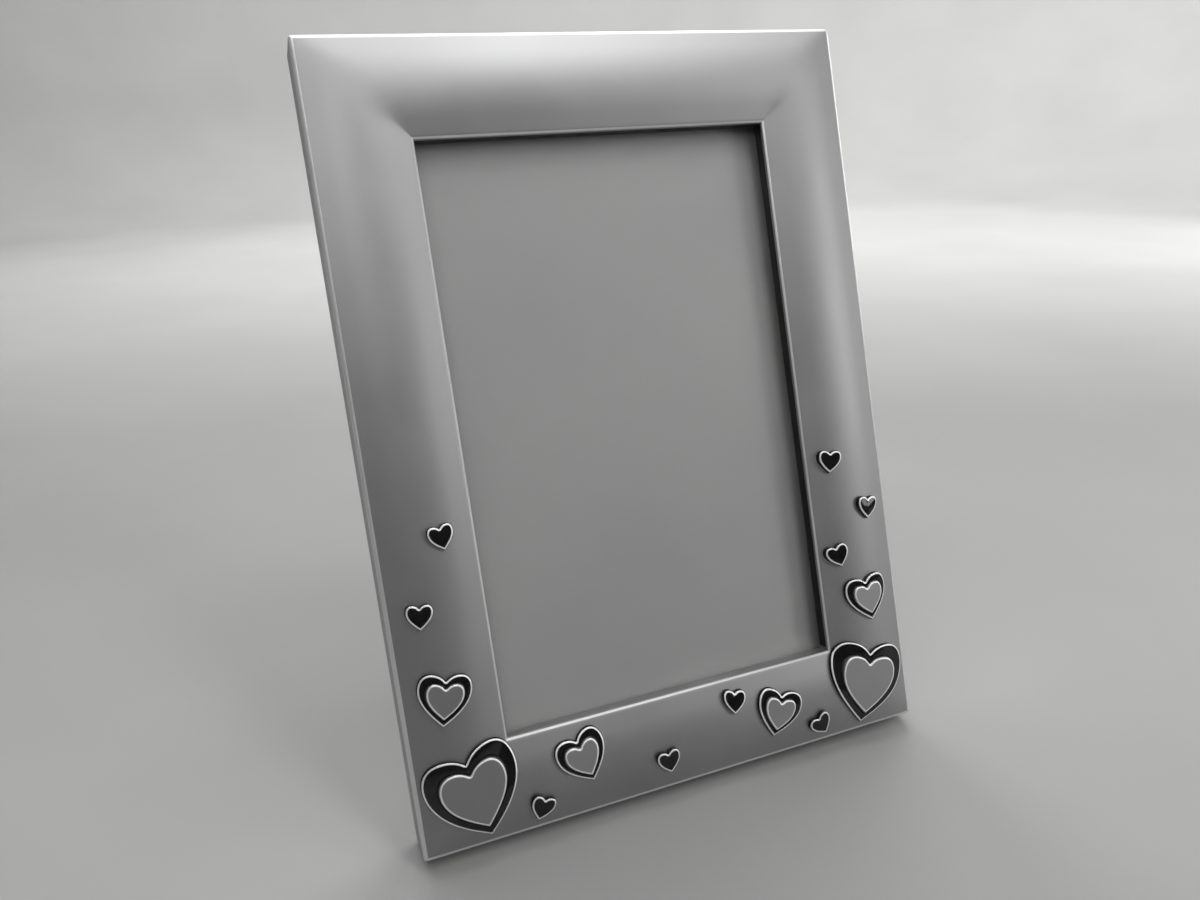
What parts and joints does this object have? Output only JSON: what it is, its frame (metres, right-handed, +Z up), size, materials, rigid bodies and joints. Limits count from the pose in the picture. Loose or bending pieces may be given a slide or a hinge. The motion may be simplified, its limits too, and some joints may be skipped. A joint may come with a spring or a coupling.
{
  "type": "photo frame",
  "caption": "Leaning silver-plated photo frame: ridged satin moulding with applied polished hearts, glass, and a velvet back panel that slides out and carries a folding strut.",
  "frame": {"origin": "middle of the footprint, on the table, with the frame standing on its bottom edge and open strut", "axes": "+Z up, +X to the right seen from the front, -Y the way the leaning face looks"},
  "size_m": [0.146, 0.093, 0.1938],
  "materials": {
    "satin_silver": "satin silver plate on pressed sheet",
    "polished_silver": "mirror-polished silver plate",
    "nickel": "bright nickel-plated steel",
    "fibreboard": "bare fibreboard",
    "glass": "clear float glass",
    "grey_paper": "blank semi-matt photo paper",
    "grey_card": "plain grey board",
    "black_velvet": "black velvet glued over thin board"
  },
  "bodies": {
    "frame": {"frame_shell": "satin_silver", "core_frame": "fibreboard", "glass_pane": "glass", "photo_insert": "grey_paper", "backing_card": "grey_card", "small_heart_1": "polished_silver", "small_heart_2": "polished_silver", "small_heart_3": "polished_silver", "small_heart_4": "polished_silver", "small_heart_5": "polished_silver", "small_heart_6": "polished_silver", "small_heart_7": "polished_silver", "small_heart_8": "polished_silver", "small_heart_9": "polished_silver", "heart_rim_1": "polished_silver", "heart_rim_2": "polished_silver", "heart_rim_3": "polished_silver", "heart_rim_4": "polished_silver", "heart_rim_5": "polished_silver", "heart_rim_6": "polished_silver", "heart_centre_1": "satin_silver", "heart_centre_2": "satin_silver", "heart_centre_3": "satin_silver", "heart_centre_4": "satin_silver", "heart_centre_5": "satin_silver", "heart_centre_6": "satin_silver"},
    "back": {"back_panel": "black_velvet", "hinge_bracket": "nickel", "hinge_pin": "nickel", "bracket_rivet_1": "nickel", "bracket_rivet_2": "nickel"},
    "strut": {"strut": "black_velvet", "hinge_leaf": "nickel", "leaf_rivet_1": "nickel", "leaf_rivet_2": "nickel"}
  },
  "joints": [
    {"name": "back_slide", "type": "slide", "parent": "frame", "child": "back", "axis": [0, 0.309, 0.9511], "range_m": [0, 0.19]},
    {"name": "strut_fold", "type": "hinge", "parent": "back", "child": "strut", "pos_m": [0, 0.01242, 0.13256], "axis": [1, 0, 0], "range_deg": [-32, 0]}
  ]
}
